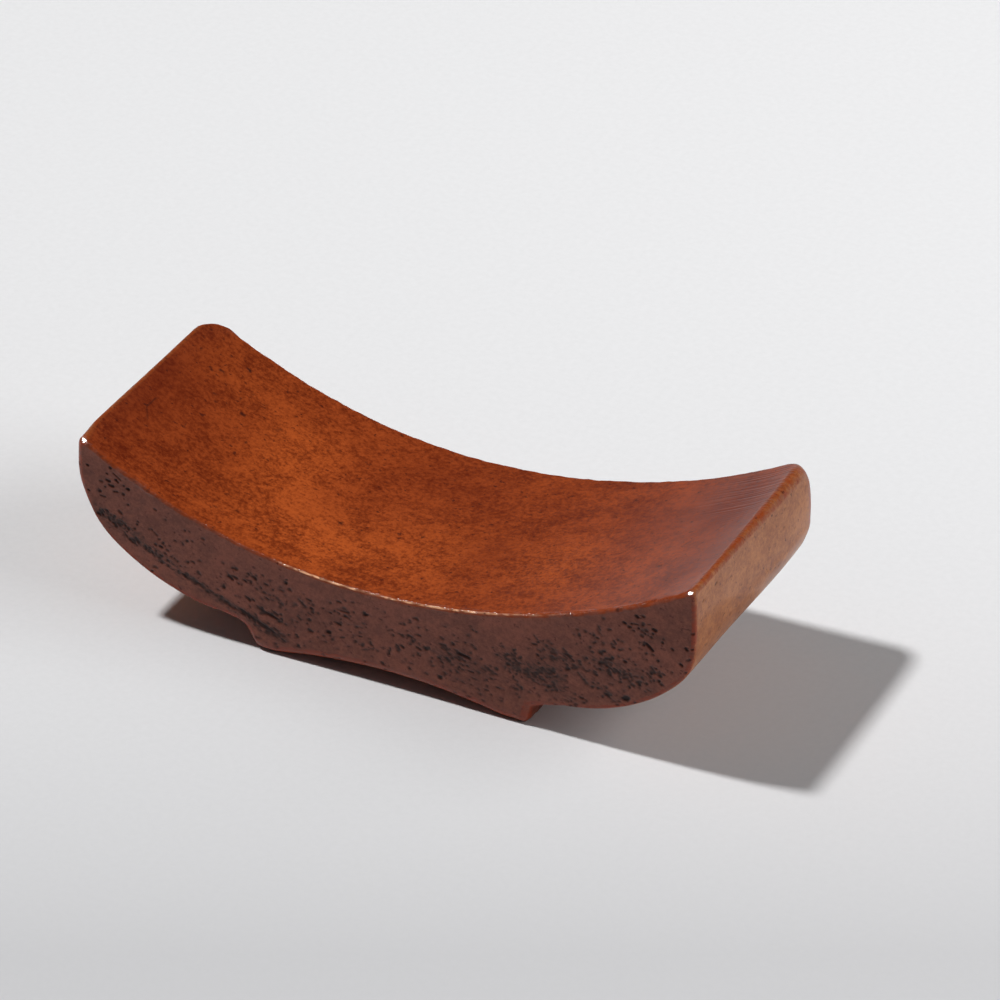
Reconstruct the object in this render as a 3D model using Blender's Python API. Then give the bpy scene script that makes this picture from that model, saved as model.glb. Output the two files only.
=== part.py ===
"""A pen rest carved from one block of lacquered hardwood.

Metres, +Z up. X runs along the rest, Y across it, and the feet stand on Z = 0.
The block is lofted along X from rounded cross-sections. Its top is a hollow saddle that
the pen lies across. Its underside curls up to both ends and stands on two low feet, which
are what is left on either side of a shallow arch.
"""

import math

import bmesh
import bpy

MM = 0.001

# The block
END_X = 35.0 * MM
HALF_WIDTH = 14.1 * MM

# The saddle: two arcs that meet level at the lowest point, a little left of the middle
SADDLE_LOW_X = -2.3 * MM
SADDLE_LOW_Z = 10.9 * MM
LEFT_SADDLE_RADIUS = 60.0 * MM
RIGHT_SADDLE_RADIUS = 69.0 * MM

# How far each tip of the saddle rolls over into the upright end; the far right corner is the most worn
TIP_RADIUS = 0.5 * MM
FAR_RIGHT_TIP_RADIUS = 1.3 * MM

# The hull below each end: an end arc that starts upright, then a wider arc that runs in under the block
LEFT_END_RADIUS = 11.5 * MM
LEFT_END_Z = 17.3 * MM
LEFT_TURN_DEG = 53.0
LEFT_HULL_RADIUS = 23.6 * MM
RIGHT_END_RADIUS = 7.0 * MM
RIGHT_END_Z = 14.9 * MM
RIGHT_TURN_DEG = 40.6
RIGHT_HULL_RADIUS = 19.1 * MM

# The feet, as distances from the middle of the block
LEFT_SHOULDER = (18.8 * MM, 3.58 * MM)
LEFT_ANKLE = (16.1 * MM, 2.6 * MM)
LEFT_HEEL = (14.8 * MM, 0.4 * MM)
LEFT_FOOT_OUT = 14.3 * MM
LEFT_FOOT_IN = 13.2 * MM
RIGHT_SHOULDER = (19.0 * MM, 3.74 * MM)
RIGHT_ANKLE = (16.9 * MM, 2.3 * MM)
RIGHT_HEEL = (16.6 * MM, 0.25 * MM)
RIGHT_FOOT_OUT = 16.3 * MM
RIGHT_FOOT_IN = 13.5 * MM
ARCH_RISE = 1.4 * MM

# How far each upright corner of the block is rounded, seen from above
NEAR_LEFT_CORNER = 0.8 * MM
NEAR_RIGHT_CORNER = 0.5 * MM
FAR_LEFT_CORNER = 3.6 * MM
FAR_RIGHT_CORNER = 0.8 * MM

# The edges along the block
TOP_EDGE_RADIUS = 0.6 * MM
LOWER_EDGE_RADIUS = 0.4 * MM
FOOT_EDGE_RADIUS = 1.1 * MM
FOOT_EDGE_X = 15.5 * MM
LOWER_EDGE_X = 19.5 * MM

END_ARC_STEPS = 14
HULL_ARC_STEPS = 7
ARCH_STEPS = 18
EDGE_STEPS = 3
SMOOTH_BELOW_DEG = 30.0

WOOD_COLOUR = (0.30, 0.055, 0.012, 1.0)
WOOD_ROUGHNESS = 0.3
LACQUER_WEIGHT = 0.5
LACQUER_ROUGHNESS = 0.12


def clear_scene():
    for item in list(bpy.data.objects):
        bpy.data.objects.remove(item)


def wood_material():
    wood = bpy.data.materials.new("lacquered_wood")
    wood.use_nodes = True
    shader = wood.node_tree.nodes["Principled BSDF"]
    shader.inputs["Base Color"].default_value = WOOD_COLOUR
    shader.inputs["Roughness"].default_value = WOOD_ROUGHNESS
    shader.inputs["Metallic"].default_value = 0.0
    shader.inputs["Coat Weight"].default_value = LACQUER_WEIGHT
    shader.inputs["Coat Roughness"].default_value = LACQUER_ROUGHNESS
    return wood


def arc(centre, radius, start_deg, end_deg, steps):
    """Points on an arc, with angles measured from +X towards +Z."""
    points = []
    for step in range(steps + 1):
        angle = math.radians(start_deg + (end_deg - start_deg) * step / steps)
        points.append((centre[0] + radius * math.cos(angle), centre[1] + radius * math.sin(angle)))
    return points


def end_curl(end_radius, end_z, turn_deg, hull_radius, shoulder_x):
    """The right-hand hull from the upright end in to the shoulder, as (distance out, height)."""
    end_centre = (END_X - end_radius, end_z)
    turn = math.radians(turn_deg)
    reach = end_radius - hull_radius
    hull_centre = (end_centre[0] + reach * math.cos(turn), end_centre[1] - reach * math.sin(turn))
    shoulder_deg = math.degrees(math.acos((shoulder_x - hull_centre[0]) / hull_radius))
    curl = arc(end_centre, end_radius, 0.0, -turn_deg, END_ARC_STEPS)
    return curl[:-1] + arc(hull_centre, hull_radius, -turn_deg, -shoulder_deg, HULL_ARC_STEPS)[:-1]


def arch_points():
    """The shallow arch between the feet, from left to right."""
    half_span = (LEFT_FOOT_IN + RIGHT_FOOT_IN) / 2
    centre_x = (RIGHT_FOOT_IN - LEFT_FOOT_IN) / 2
    radius = (half_span ** 2 + ARCH_RISE ** 2) / (2 * ARCH_RISE)
    half_deg = math.degrees(math.asin(half_span / radius))
    return arc((centre_x, ARCH_RISE - radius), radius, 90 + half_deg, 90 - half_deg, ARCH_STEPS)


def underside():
    """The lower outline from the left end to the right end, as (x, z)."""
    left = end_curl(LEFT_END_RADIUS, LEFT_END_Z, LEFT_TURN_DEG, LEFT_HULL_RADIUS, LEFT_SHOULDER[0])
    left += [LEFT_SHOULDER, LEFT_ANKLE, LEFT_HEEL, (LEFT_FOOT_OUT, 0.0)]
    right = end_curl(
        RIGHT_END_RADIUS, RIGHT_END_Z, RIGHT_TURN_DEG, RIGHT_HULL_RADIUS, RIGHT_SHOULDER[0]
    )
    right += [RIGHT_SHOULDER, RIGHT_ANKLE, RIGHT_HEEL, (RIGHT_FOOT_OUT, 0.0)]
    outline = [(-out, height) for out, height in left]
    outline += arch_points()
    outline += reversed(right)
    return outline


def saddle_height(x, tip_radius):
    """The top outline at x, which rolls over into the upright end within the tip's radius."""
    side = math.copysign(1.0, x - SADDLE_LOW_X)
    radius = RIGHT_SADDLE_RADIUS if side > 0 else LEFT_SADDLE_RADIUS
    centre_z = SADDLE_LOW_Z + radius
    tip_x = side * (END_X - tip_radius)
    reach = radius + tip_radius
    tip_z = centre_z - math.sqrt(reach ** 2 - (tip_x - SADDLE_LOW_X) ** 2)
    roll_x = SADDLE_LOW_X + (tip_x - SADDLE_LOW_X) * radius / reach
    if side * x > side * roll_x:
        return tip_z + math.sqrt(max(tip_radius ** 2 - (x - tip_x) ** 2, 0.0))
    return centre_z - math.sqrt(radius ** 2 - (x - SADDLE_LOW_X) ** 2)


def half_width(x, left_corner, right_corner):
    """The distance from the middle plane to one side, which turns in at the upright corners."""
    corner = left_corner if x < 0 else right_corner
    past = max(abs(x) - (END_X - corner), 0.0)
    return HALF_WIDTH - corner + math.sqrt(max(corner ** 2 - past ** 2, 0.0))


def lower_edge_radius(x):
    """Rounder along the feet and the arch than on the hull outside them."""
    past = min(max((abs(x) - FOOT_EDGE_X) / (LOWER_EDGE_X - FOOT_EDGE_X), 0.0), 1.0)
    return FOOT_EDGE_RADIUS + (LOWER_EDGE_RADIUS - FOOT_EDGE_RADIUS) * past


def section(x, low_z):
    """One cross-section of the block as a ring of points, anticlockwise seen from the right."""
    near_y = -half_width(x, NEAR_LEFT_CORNER, NEAR_RIGHT_CORNER)
    far_y = half_width(x, FAR_LEFT_CORNER, FAR_RIGHT_CORNER)
    near_z = saddle_height(x, TIP_RADIUS)
    far_z = saddle_height(x, FAR_RIGHT_TIP_RADIUS if x > 0 else TIP_RADIUS)
    low = lower_edge_radius(x)
    top = TOP_EDGE_RADIUS
    ring = arc((near_y + low, low_z + low), low, 180, 270, EDGE_STEPS)
    ring += arc((far_y - low, low_z + low), low, 270, 360, EDGE_STEPS)
    ring += arc((far_y - top, far_z - top), top, 0, 90, EDGE_STEPS)
    ring += arc((near_y + top, near_z - top), top, 90, 180, EDGE_STEPS)
    return [(x, y, z) for y, z in ring]


def rest_block():
    body = bmesh.new()
    rings = []
    for x, low_z in underside():
        rings.append([body.verts.new(point) for point in section(x, low_z)])
    count = len(rings[0])
    for left, right in zip(rings, rings[1:]):
        for i in range(count):
            j = (i + 1) % count
            body.faces.new((left[i], left[j], right[j], right[i]))
    body.faces.new(rings[0])
    body.faces.new(reversed(rings[-1]))
    bmesh.ops.recalc_face_normals(body, faces=body.faces)
    mesh = bpy.data.meshes.new("rest_block")
    body.to_mesh(mesh)
    body.free()
    mesh.shade_smooth()
    mesh.set_sharp_from_angle(angle=math.radians(SMOOTH_BELOW_DEG))
    mesh.materials.append(wood_material())
    block = bpy.data.objects.new("rest_block", mesh)
    bpy.context.scene.collection.objects.link(block)
    return block


def main():
    clear_scene()
    rest_block()


main()
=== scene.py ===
"""The looks of the carved pen rest: one block of varnished, open-pored hardwood on a pale floor.

The row frame has X along the rest, Y across it and Z up. The block is meshed from its two outlines,
pulled onto one smooth distance function, and then given what a tool, a hand and the wood leave on it:
waviness, worn edges and open pores. Block sizes here are in millimetres, and MM turns them into metres.

A fade is a pair: the value at which an effect is nil, then the value at which it is full.
"""

import math

import bmesh
import bpy
import numpy as np
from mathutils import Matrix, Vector


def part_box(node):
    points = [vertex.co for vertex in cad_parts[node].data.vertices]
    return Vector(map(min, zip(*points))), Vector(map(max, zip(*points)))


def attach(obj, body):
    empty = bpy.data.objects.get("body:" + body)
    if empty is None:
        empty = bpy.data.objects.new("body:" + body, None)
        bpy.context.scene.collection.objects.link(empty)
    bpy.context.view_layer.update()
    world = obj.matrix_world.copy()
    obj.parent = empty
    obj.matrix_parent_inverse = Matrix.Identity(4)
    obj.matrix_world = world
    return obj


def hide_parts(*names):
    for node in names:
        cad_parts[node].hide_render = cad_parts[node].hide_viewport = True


MM = 0.001
SEED = 7


def add_object(name, data):
    obj = bpy.data.objects.new(name, data)
    bpy.context.scene.collection.objects.link(obj)
    return obj


# The saddle: two arcs that meet level at the lowest point
SADDLE_LOW_X = -2.3
SADDLE_LOW_Z = 10.9
LEFT_SADDLE_RADIUS = 60.0
RIGHT_SADDLE_RADIUS = 69.0

# The hull below each end
LEFT_END_RADIUS = 11.5
LEFT_END_Z = 17.3
LEFT_TURN_DEG = 53.0
LEFT_HULL_RADIUS = 23.6
RIGHT_END_RADIUS = 7.0
RIGHT_END_Z = 14.9
RIGHT_TURN_DEG = 40.6
RIGHT_HULL_RADIUS = 19.1
RIGHT_FACE_RADIUS = 40.0
RIGHT_FACE_Z = 17.0

# The feet, outside in, as (distance from the middle, height, rounding)
LEFT_FOOT = ((18.8, 3.58, 3.0), (16.1, 2.6, 1.6), (14.75, 0.1, 1.0), (12.6, 0.0, 2.5))
RIGHT_FOOT = (
    (20.4, 3.72, 3.0),
    (18.3, 2.95, 1.5),
    (17.0, 2.2, 0.35),
    (16.6, 0.0, 0.5),
    (13.6, 0.0, 6.0),
)
ARCH_RISE = 1.4

# How finely the lower outline is drawn, and how many points its arcs give up where they join
OUTLINE_STEP = 0.2
ARCH_STEP = 0.5
FILLET_STEPS = 8
FILLET_SHARE = 0.48
HULL_TRIM = 4
ARCH_TRIM = 5
FACE_TRIM = 2
CURL_TRIM = 3
# The outline runs on past both tips, up to this height
ABOVE_TIPS = 26.0

# How far each edge is rounded. Top edges take over where the saddle is nearer than the underside.
TOP_EDGE = 0.5
TOP_EDGE_FADE = (-1.5, 1.5)
LOWER_EDGE = 0.36
FOOT_EDGE = 1.05
FOOT_EDGE_FADE = (19.5, 15.5)
FAR_RIGHT_HULL_EDGE = 1.5
FAR_RIGHT_HULL_X = (22.0, 32.0)
FAR_RIGHT_HULL_Y = (0.0, 6.0)
# The upright edges of each end, near then far, and how far in from the end they fade
LEFT_UPRIGHTS = (0.85, 0.6)
RIGHT_UPRIGHTS = (0.42, 0.8)
UPRIGHT_FADE = (2.5, 0.8)
# The roll of the saddle over each end
LEFT_TIP = 0.7
LEFT_TIP_NEAR = 1.25
LEFT_TIP_FADE = (-10.0, -13.6)
RIGHT_TIP_NEAR = 0.85
RIGHT_TIP_FAR = 1.4
# The far left corner, seen from above
FAR_LEFT_CORNER = 3.6

# Cuts where the corners of the tips are knocked flat or worn round, as (end, side, facing, depth, rounding)
KNOCKED_CORNERS = (
    (1, -1, (-0.106, -0.513, 0.852), 0.725, 0.1),
    (-1, -1, (-0.039, -0.505, 0.862), 0.88, 0.1),
    (1, 1, (0.45, 0.60, 0.66), 1.5, 1.0),
    (-1, 1, (-0.28, 0.62, 0.73), 0.45, 1.6),
)

# Numerical limits
TINY = 1e-9
ON_OUTLINE = 1e-3
FAR_AWAY = 9.0
LEAST_SLOPE = 0.05
POINTS_AT_ONCE = 8000
SETTLE_ROUNDS = 6
QUICK_SETTLE_ROUNDS = 3


def smooth_step(low, high, value):
    t = np.clip((value - low) / (high - low), 0.0, 1.0)
    return t * t * (3.0 - 2.0 * t)


def blend(a, b, share):
    return a + (b - a) * share


def outline_arc(centre, radius, start_deg, end_deg, step=OUTLINE_STEP):
    """Points on an arc in the XZ plane, with angles from +X towards +Z."""
    count = max(2, int(abs(math.radians(end_deg - start_deg)) * radius / step))
    angles = np.radians(np.linspace(start_deg, end_deg, count + 1))
    return [(centre[0] + radius * math.cos(a), centre[1] + radius * math.sin(a)) for a in angles]


def fillet(before, corner, after, radius):
    """Points on the arc that rounds a corner between its two neighbours."""
    p = np.array(corner, float)
    to_before = np.array(before, float) - p
    to_after = np.array(after, float) - p
    back = np.linalg.norm(to_before)
    forth = np.linalg.norm(to_after)
    to_before /= back
    to_after /= forth
    half = math.acos(float(np.clip(to_before @ to_after, -1.0, 1.0))) / 2
    reach = min(radius / math.tan(half), FILLET_SHARE * back, FILLET_SHARE * forth)
    radius = reach * math.tan(half)
    middle = (to_before + to_after) / np.linalg.norm(to_before + to_after)
    centre = p + middle * radius / math.sin(half)
    start = p + to_before * reach - centre
    end = p + to_after * reach - centre
    sweep = math.pi - 2 * half
    points = []
    for k in range(FILLET_STEPS + 1):
        t = k / FILLET_STEPS
        spoke = (math.sin((1 - t) * sweep) * start + math.sin(t * sweep) * end) / math.sin(sweep)
        points.append(tuple(centre + spoke))
    return points


def end_curl(end_x, end_radius, end_z, turn_deg, hull_radius, shoulder_x):
    """The right-hand hull from the upright end in to the shoulder, as (distance out, height)."""
    end_centre = (end_x - end_radius, end_z)
    turn = math.radians(turn_deg)
    reach = end_radius - hull_radius
    hull_centre = (end_centre[0] + reach * math.cos(turn), end_centre[1] - reach * math.sin(turn))
    shoulder_deg = math.degrees(math.acos((shoulder_x - hull_centre[0]) / hull_radius))
    curl = outline_arc(end_centre, end_radius, 0.0, -turn_deg)
    return curl[:-1] + outline_arc(hull_centre, hull_radius, -turn_deg, -shoulder_deg)


def foot_points(hull_end, foot, arch_next):
    """The outline down one foot, each of its corners rounded by its own radius."""
    corners = [hull_end] + [(out, height) for out, height, _ in foot] + [arch_next]
    points = []
    for i, (_, _, radius) in enumerate(foot, start=1):
        points += fillet(corners[i - 1], corners[i], corners[i + 1], radius)
    return points


def arch_points(left_in, right_in):
    """The shallow arch between the feet, from left to right."""
    half_span = (left_in + right_in) / 2
    centre_x = (right_in - left_in) / 2
    radius = (half_span ** 2 + ARCH_RISE ** 2) / (2 * ARCH_RISE)
    half_deg = math.degrees(math.asin(half_span / radius))
    return outline_arc((centre_x, ARCH_RISE - radius), radius, 90 + half_deg, 90 - half_deg, ARCH_STEP)


def lower_outline(end_x):
    """The outline under the block, from above its left tip down, across and up to above its right tip."""
    arch = arch_points(LEFT_FOOT[-1][0], RIGHT_FOOT[-1][0])
    left = end_curl(end_x, LEFT_END_RADIUS, LEFT_END_Z, LEFT_TURN_DEG, LEFT_HULL_RADIUS, LEFT_FOOT[0][0])
    arch_x, arch_z = arch[ARCH_TRIM - 1]
    left_foot = foot_points(left[-HULL_TRIM], LEFT_FOOT, (-arch_x, arch_z))
    lean = math.asin((RIGHT_FACE_Z - RIGHT_END_Z) / (RIGHT_FACE_RADIUS - RIGHT_END_RADIUS))
    face_centre = (end_x - RIGHT_FACE_RADIUS, RIGHT_FACE_Z)
    face_top = math.degrees(math.asin((ABOVE_TIPS - RIGHT_FACE_Z) / RIGHT_FACE_RADIUS))
    face = outline_arc(face_centre, RIGHT_FACE_RADIUS, face_top, -math.degrees(lean))
    right = end_curl(
        end_x, RIGHT_END_RADIUS, RIGHT_END_Z, RIGHT_TURN_DEG, RIGHT_HULL_RADIUS, RIGHT_FOOT[0][0]
    )
    right_foot = foot_points(right[-HULL_TRIM], RIGHT_FOOT, arch[-ARCH_TRIM])
    outline = [(-end_x, ABOVE_TIPS)]
    outline += [(-out, height) for out, height in left[:-HULL_TRIM] + left_foot]
    outline += arch[ARCH_TRIM:-ARCH_TRIM]
    outline += reversed(face[:-FACE_TRIM] + right[CURL_TRIM:-HULL_TRIM] + right_foot)
    return np.array(outline)


def saddle_radius(x):
    return np.where(x > SADDLE_LOW_X, RIGHT_SADDLE_RADIUS, LEFT_SADDLE_RADIUS)


def saddle_height(x):
    radius = saddle_radius(x)
    return SADDLE_LOW_Z + radius - np.sqrt(radius ** 2 - (x - SADDLE_LOW_X) ** 2)


def below_saddle(x, z):
    """Signed distance to the saddle, negative in the wood, and its outward direction in X and Z."""
    radius = saddle_radius(x)
    dx = x - SADDLE_LOW_X
    dz = z - (SADDLE_LOW_Z + radius)
    away = np.hypot(dx, dz)
    return radius - away, -dx / away, -dz / away


def above_underside(x, z, outline):
    """Signed distance to the lower outline, its outward direction in X and Z, and the length along it."""
    start = outline[:-1]
    run = outline[1:] - start
    length2 = (run ** 2).sum(1)
    travelled = np.concatenate([[0.0], np.cumsum(np.sqrt(length2))])
    distance, out_x, out_z, station = np.empty((4, len(x)))
    for low in range(0, len(x), POINTS_AT_ONCE):
        part = slice(low, low + POINTS_AT_ONCE)
        dx = x[part, None] - start[:, 0]
        dz = z[part, None] - start[:, 1]
        along = np.clip((dx * run[:, 0] + dz * run[:, 1]) / length2, 0.0, 1.0)
        gap_x = dx - along * run[:, 0]
        gap_z = dz - along * run[:, 1]
        nearest = (gap_x ** 2 + gap_z ** 2).argmin(1)
        rows = np.arange(len(nearest))
        tangent = run[nearest] / np.sqrt(length2[nearest])[:, None]
        # The wood is on the left of the outline as it runs from the left tip to the right tip
        normal_x = tangent[:, 1]
        normal_z = -tangent[:, 0]
        gx = gap_x[rows, nearest]
        gz = gap_z[rows, nearest]
        side = gx * normal_x + gz * normal_z
        size = np.hypot(gx, gz)
        clear = size > ON_OUTLINE
        sign = np.where(side >= 0, 1.0, -1.0)
        distance[part] = np.where(clear, sign * size, side)
        out_x[part] = np.where(clear, sign * gx / np.maximum(size, TINY), normal_x)
        out_z[part] = np.where(clear, sign * gz / np.maximum(size, TINY), normal_z)
        station[part] = travelled[nearest] + along[rows, nearest] * np.sqrt(length2[nearest])
    return distance, out_x, out_z, station


def round_max(a, b, radius):
    """The larger of two distances, with a round edge where they meet, and each one's share."""
    over_a = np.maximum(a + radius, 0.0)
    over_b = np.maximum(b + radius, 0.0)
    reach = np.hypot(over_a, over_b)
    value = np.minimum(np.maximum(a, b), -radius) + reach
    deep = reach < TINY
    share_a = np.where(deep, (a > b).astype(float), over_a / np.maximum(reach, TINY))
    share_b = np.where(deep, (a <= b).astype(float), over_b / np.maximum(reach, TINY))
    return value, share_a, share_b


class Block:
    """The smooth shape of the block as a distance function, before wear and pores."""

    def __init__(self, high):
        self.end_x = high.x / MM
        self.half_width = high.y / MM
        self.outline = lower_outline(self.end_x)

    def edge_radius(self, x, y, top_distance, low_distance):
        """Top edges differ a little from lower ones, and each upright edge has its own rounding."""
        on_top = smooth_step(*TOP_EDGE_FADE, top_distance - low_distance)
        lower = blend(LOWER_EDGE, FOOT_EDGE, smooth_step(*FOOT_EDGE_FADE, np.abs(x)))
        radius = blend(lower, TOP_EDGE, on_top)
        near, far = (np.where(x < 0, left, right) for left, right in zip(LEFT_UPRIGHTS, RIGHT_UPRIGHTS))
        upright = np.where(y < 0, near, far)
        at_end = smooth_step(self.end_x - UPRIGHT_FADE[0], self.end_x - UPRIGHT_FADE[1], np.abs(x))
        radius = blend(radius, upright, at_end * (1.0 - on_top))
        far_right = smooth_step(*FAR_RIGHT_HULL_X, x) * smooth_step(*FAR_RIGHT_HULL_Y, y)
        return blend(radius, FAR_RIGHT_HULL_EDGE, far_right * (1.0 - on_top))

    def distance(self, points):
        """Signed distance to the surface, its gradient, and the share of each part of the surface in it."""
        x, y, z = points.T
        top, top_x, top_z = below_saddle(x, z)
        low, low_x, low_z, station = above_underside(x, z, self.outline)
        far = smooth_step(-self.half_width, self.half_width, y)
        left_tip = blend(LEFT_TIP, LEFT_TIP_NEAR, smooth_step(*LEFT_TIP_FADE, y))
        tip = np.where(x < 0, left_tip, blend(RIGHT_TIP_NEAR, RIGHT_TIP_FAR, far))
        profile, top_share, low_share = round_max(top, low, tip)
        side = np.abs(y) - self.half_width
        value, profile_share, side_share = round_max(profile, side, self.edge_radius(x, y, top, low))
        gradient = np.stack(
            [
                profile_share * (top_share * top_x + low_share * low_x),
                side_share * np.sign(y),
                profile_share * (top_share * top_z + low_share * low_z),
            ],
            axis=1,
        )
        knocked = np.zeros(len(points))
        for end, hand, facing, depth, rounding in KNOCKED_CORNERS:
            direction = np.array(facing) / np.linalg.norm(facing)
            corner = np.array([end * self.end_x, hand * self.half_width, saddle_height(end * self.end_x)])
            cut = np.where(end * x > 0, (points - corner) @ direction + depth, -FAR_AWAY)
            value, kept, cut_share = round_max(value, cut, rounding)
            gradient = gradient * kept[:, None] + cut_share[:, None] * direction
            knocked = np.maximum(knocked, cut_share)
        shares = {
            "top": top_share * profile_share,
            "low": low_share * profile_share,
            "side": side_share,
            "station": station,
            "knocked": knocked,
        }
        return value, gradient, shares

    def settle(self, points, rounds=SETTLE_ROUNDS):
        """Pulls points onto the surface, and returns them with their outward directions and shares."""
        for _ in range(rounds):
            value, gradient, _ = self.distance(points)
            size2 = np.maximum((gradient ** 2).sum(1), LEAST_SLOPE)
            points = points - gradient * (value / size2)[:, None]
        _, gradient, shares = self.distance(points)
        normals = gradient / np.linalg.norm(gradient, axis=1)[:, None]
        return points, normals, shares


# The mesh: rings along the block, rows up its sides, and stations close to the edges
RINGS = 190
DENSE_ENDS = 0.75
SADDLE_SAMPLES = 600
ACROSS_STEP = 0.9
ACROSS_EDGE = (0.0, 0.1, 0.22, 0.36, 0.55, 0.85)
SIDE_ROWS = 26
SIDE_EDGE = (0.0, 0.012, 0.026, 0.045)
MERGE_DISTANCE = 1e-4
# Rounds of refinement, as (gap to a pore, closeness to a top edge) within which mesh edges are halved
REFINEMENTS = ((0.24, 0.3), (0.1, math.inf))


def walk(outline):
    """Points spread along an outline, one for each ring, closer together near both of its ends."""
    steps = np.linalg.norm(np.diff(outline, axis=0), axis=1)
    travelled = np.concatenate([[0.0], np.cumsum(steps)])
    t = np.linspace(0.0, 1.0, RINGS)
    t = t - DENSE_ENDS * np.sin(2 * math.pi * t) / (2 * math.pi)
    where = t * travelled[-1]
    return np.stack([np.interp(where, travelled, outline[:, k]) for k in range(2)], axis=1)


def across(length, step, edges):
    """Stations from 0 to length, set as far in from both ends as edges says and evenly in between."""
    edge = np.array(edges)
    middle = np.linspace(edge[-1], length - edge[-1], max(2, int((length - 2 * edge[-1]) / step)) + 1)
    return np.concatenate([edge[:-1], middle, length - edge[:-1][::-1]])


def block_mesh(block):
    """Closed rings from tip to tip: each runs under the block, up the far side, over the top and down."""
    outline = block.outline
    gap = below_saddle(outline[:, 0], outline[:, 1])[0]
    inside = np.where(gap < 0)[0]
    tips = []
    for a, b in ((inside[0] - 1, inside[0]), (inside[-1], inside[-1] + 1)):
        share = gap[a] / (gap[a] - gap[b])
        tips.append(outline[a] + share * (outline[b] - outline[a]))
    x = np.linspace(tips[0][0], tips[1][0], SADDLE_SAMPLES)
    under = walk(np.vstack([tips[0], outline[inside], tips[1]]))
    over = walk(np.stack([x, saddle_height(x)], axis=1))
    y = across(2 * block.half_width, ACROSS_STEP, ACROSS_EDGE) - block.half_width
    side = across(1.0, 1.0 / SIDE_ROWS, SIDE_EDGE)[1:-1]
    mesh = bmesh.new()
    rings = []
    for low, high in zip(under, over):
        ring = [(low[0], v, low[1]) for v in y]
        ring += [(rise[0], y[-1], rise[1]) for rise in (blend(low, high, t) for t in side)]
        ring += [(high[0], v, high[1]) for v in y[::-1]]
        ring += [(fall[0], y[0], fall[1]) for fall in (blend(high, low, t) for t in side)]
        rings.append([mesh.verts.new(point) for point in ring])
    count = len(rings[0])
    for left, right in zip(rings, rings[1:]):
        for i in range(count):
            j = (i + 1) % count
            mesh.faces.new((left[i], left[j], right[j], right[i]))
    bmesh.ops.remove_doubles(mesh, verts=mesh.verts, dist=MERGE_DISTANCE)
    bmesh.ops.recalc_face_normals(mesh, faces=mesh.faces)
    return mesh


def coordinates(mesh):
    return np.array([v.co for v in mesh.verts], float)


def edge(share_a, share_b):
    """How close each point is to the edge between two parts, from 0 well away to 2 on the crest."""
    return 4 * share_a * share_b


def refine(mesh, block, pore_map, margin, closeness):
    """Halves the mesh edges around pores, and along the top edges where they catch the light."""
    points, _, shares = block.settle(coordinates(mesh), QUICK_SETTLE_ROUNDS)
    gap = pore_map.fields(points, shares, np.zeros(len(points)))[2]
    close = (gap < margin) | (edge(shares["top"], shares["side"]) > closeness)
    mesh.verts.index_update()
    edges = [e for e in mesh.edges if close[e.verts[0].index] or close[e.verts[1].index]]
    bmesh.ops.subdivide_edges(mesh, edges=edges, cuts=1, use_grid_fill=True)


def lumps(points, size, rng):
    """Smooth noise from -1 to 1 whose lumps are about that size."""
    low = points.min(0)
    cells = np.ceil((points.max(0) - low) / size).astype(int) + 2
    values = rng.uniform(-1.0, 1.0, cells)
    where = (points - low) / size
    base = np.floor(where).astype(int)
    part = where - base
    part = part * part * (3.0 - 2.0 * part)
    total = np.zeros(len(points))
    for dx in (0, 1):
        for dy in (0, 1):
            for dz in (0, 1):
                weight = np.ones(len(points))
                for axis, step in enumerate((dx, dy, dz)):
                    weight *= part[:, axis] if step else 1.0 - part[:, axis]
                total += weight * values[base[:, 0] + dx, base[:, 1] + dy, base[:, 2] + dz]
    return total


# Pores. The vessels run down to the right at GRAIN_DEG and come out on the sides as short dark slots.
GRAIN_DEG = -20.0
PORE_DEPTH = 0.13
# How far from a pore's rim its wall and its darkness fade, and how far from it they are worked out
WALL_FADE = (0.05, -0.09)
DARK_FADE = (0.11, -0.07)
PORE_MARGIN = 0.7
# How much a rim wanders, as a share of the pore's half width, and the size of its wobbles
RIM_WOBBLE = 0.45
WOBBLE_SIZE = 0.3
# Pores on top are nearly filled by the varnish
TOP_FILLING = 0.7
# The least share of a part of the surface at the points that its pores can reach
ON_SIDE = 0.5
ON_HULL = 0.75
ON_TOP = 0.8

# Below, a pair is a range to draw from, but LENGTH pairs are the shape and scale of a gamma draw,
# and TOP_SPECK_LEAN is a mean and a deviation.

# Lone pores: how they thin out towards the left, and their sizes and directions
SINGLES_NEAR = 330
SINGLES_FAR = 200
SINGLES_THINNING = 1.35
SINGLE_ABOVE = 1.0
SINGLE_BELOW_SADDLE = 1.6
SINGLE_WIDTH = (0.13, 0.34)
SINGLE_LENGTH = (1.2, 0.14)
SINGLE_TURN_DEG = 30.0
SINGLE_STRENGTH = (0.55, 1.0)

# Pores in clusters: how many for each one counted, how they gather, and their sizes and directions
PORE_COUNT = 1.5
CLUSTER_SPREAD = (0.55, 0.8)
CLUSTER_LENGTH = (1.3, 0.15)
CLUSTER_LEAST_LENGTH = 0.14
CLUSTER_MOST_LENGTH = 1.3
CLUSTER_WIDTH = (0.15, 0.38)
CLUSTER_TURN_DEG = 24.0
CLUSTER_STRENGTH = (0.6, 1.0)
# How far the darker wood reaches past a cluster, and how many pores crowd it
CROWD_MARGIN = (0.3, 0.35)
CROWD_SHARE = 0.8
CROWD_FULL = 12.0

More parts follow.
